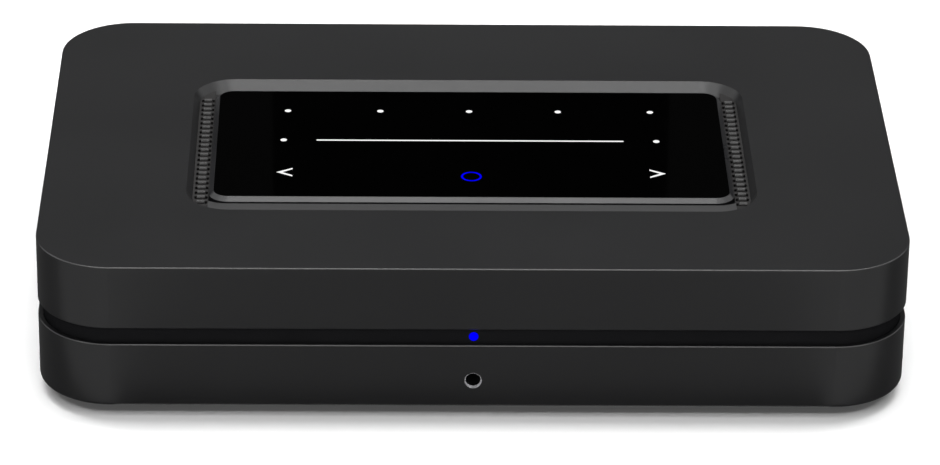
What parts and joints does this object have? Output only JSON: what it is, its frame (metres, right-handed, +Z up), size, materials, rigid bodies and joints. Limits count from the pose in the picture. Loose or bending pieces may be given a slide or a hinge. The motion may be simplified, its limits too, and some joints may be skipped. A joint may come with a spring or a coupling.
{
  "type": "network music streamer",
  "caption": "Flat rounded desktop music streamer: two dark half shells round a recessed waist band, a touch glass in a bevelled pocket, vent grilles and rear connectors.",
  "frame": {"origin": "floor level under the middle of the unit", "axes": "+Z up, -Y the front with the headphone jack, +X the unit's long direction, to the right seen from the front"},
  "size_m": [0.22, 0.146, 0.043],
  "materials": {
    "case_plastic": "fine matt texture",
    "band_plastic": "satin",
    "bezel_plastic": "satin with a bright bevel",
    "grille_plastic": "fine matt texture",
    "black_glass": "polished, printed black behind",
    "icon_white": "lit from behind",
    "ring_blue": "lit from behind",
    "light_plastic": "milky diffuser",
    "board": "green solder mask",
    "foot_rubber": "matt",
    "zinc_screw": "zinc plated",
    "black_screw": "blackened",
    "panel_paint": "fine black powder coat",
    "nickel": "nickel plated",
    "nickel_sheet": "bright folded sheet",
    "gold": "gold flashed",
    "socket_plastic": "black moulded",
    "tongue_plastic": "natural moulded",
    "rca_white": "moulded",
    "rca_red": "moulded",
    "rca_orange": "moulded",
    "rca_purple": "moulded",
    "heat_sink": "black anodised",
    "bare_aluminium": "mill finish",
    "chip_plastic": "moulded epoxy",
    "shield_sheet": "tin plated",
    "capacitor_sleeve": "shrunk sleeve",
    "ferrite": "sintered",
    "winding_tape": "polyester tape",
    "film_case": "moulded box",
    "fuse_body": "glass tube",
    "wire_cover": "flexible cover",
    "ribbon_film": "polyimide film",
    "receiver_plastic": "dark infrared-clear moulding"
  },
  "bodies": {
    "unit": {"top_shell": "case_plastic", "bottom_shell": "case_plastic", "waist_band": "band_plastic", "panel_bezel": "bezel_plastic", "touch_glass": "black_glass", "panel_icons": "icon_white", "play_ring": "ring_blue", "light_guide": "light_plastic", "touch_board": "board", "left_vent_grille": "grille_plastic", "right_vent_grille": "grille_plastic", "feet": "foot_rubber", "case_screws": "zinc_screw", "board_screws": "zinc_screw", "panel_screws": "black_screw", "rear_panel": "panel_paint", "power_inlet": "socket_plastic", "inlet_pins": "nickel", "usb_socket": "nickel_sheet", "hdmi_socket": "nickel_sheet", "service_socket": "nickel_sheet", "socket_tongues": "tongue_plastic", "lan_socket": "socket_plastic", "lan_contacts": "gold", "infrared_jack": "socket_plastic", "trigger_jack": "socket_plastic", "line_in_jack": "socket_plastic", "optical_socket": "socket_plastic", "rca_blocks": "socket_plastic", "rca_barrels": "nickel", "left_out_insert": "rca_white", "right_out_insert": "rca_red", "coaxial_out_insert": "rca_orange", "subwoofer_out_insert": "rca_purple", "main_board": "board", "power_board": "board", "front_board": "board", "status_light": "ring_blue", "status_led": "tongue_plastic", "infrared_receiver": "receiver_plastic", "headphone_jack": "socket_plastic", "headphone_bush": "nickel", "processor_heat_sink": "heat_sink", "main_chips": "chip_plastic", "radio_shield": "shield_sheet", "audio_capacitors": "capacitor_sleeve", "bulk_capacitor": "capacitor_sleeve", "transformer_core": "ferrite", "transformer_winding": "winding_tape", "film_capacitor": "film_case", "mains_choke": "ferrite", "fuse": "fuse_body", "power_heat_sink": "bare_aluminium", "power_harness": "wire_cover", "board_headers": "tongue_plastic", "panel_ribbon": "ribbon_film", "aerials": "board", "aerial_leads": "wire_cover"},
    "shutter": {"optical_shutter": "socket_plastic"}
  },
  "joints": [
    {"name": "optical_shutter_hinge", "type": "hinge", "parent": "unit", "child": "shutter", "pos_m": [-0.0496, 0.0633, 0.02175], "axis": [-1, 0, 0], "range_deg": [0, 80], "stiffness_Nm_per_rad": 0.0001, "springref_deg": -14.32}
  ]
}
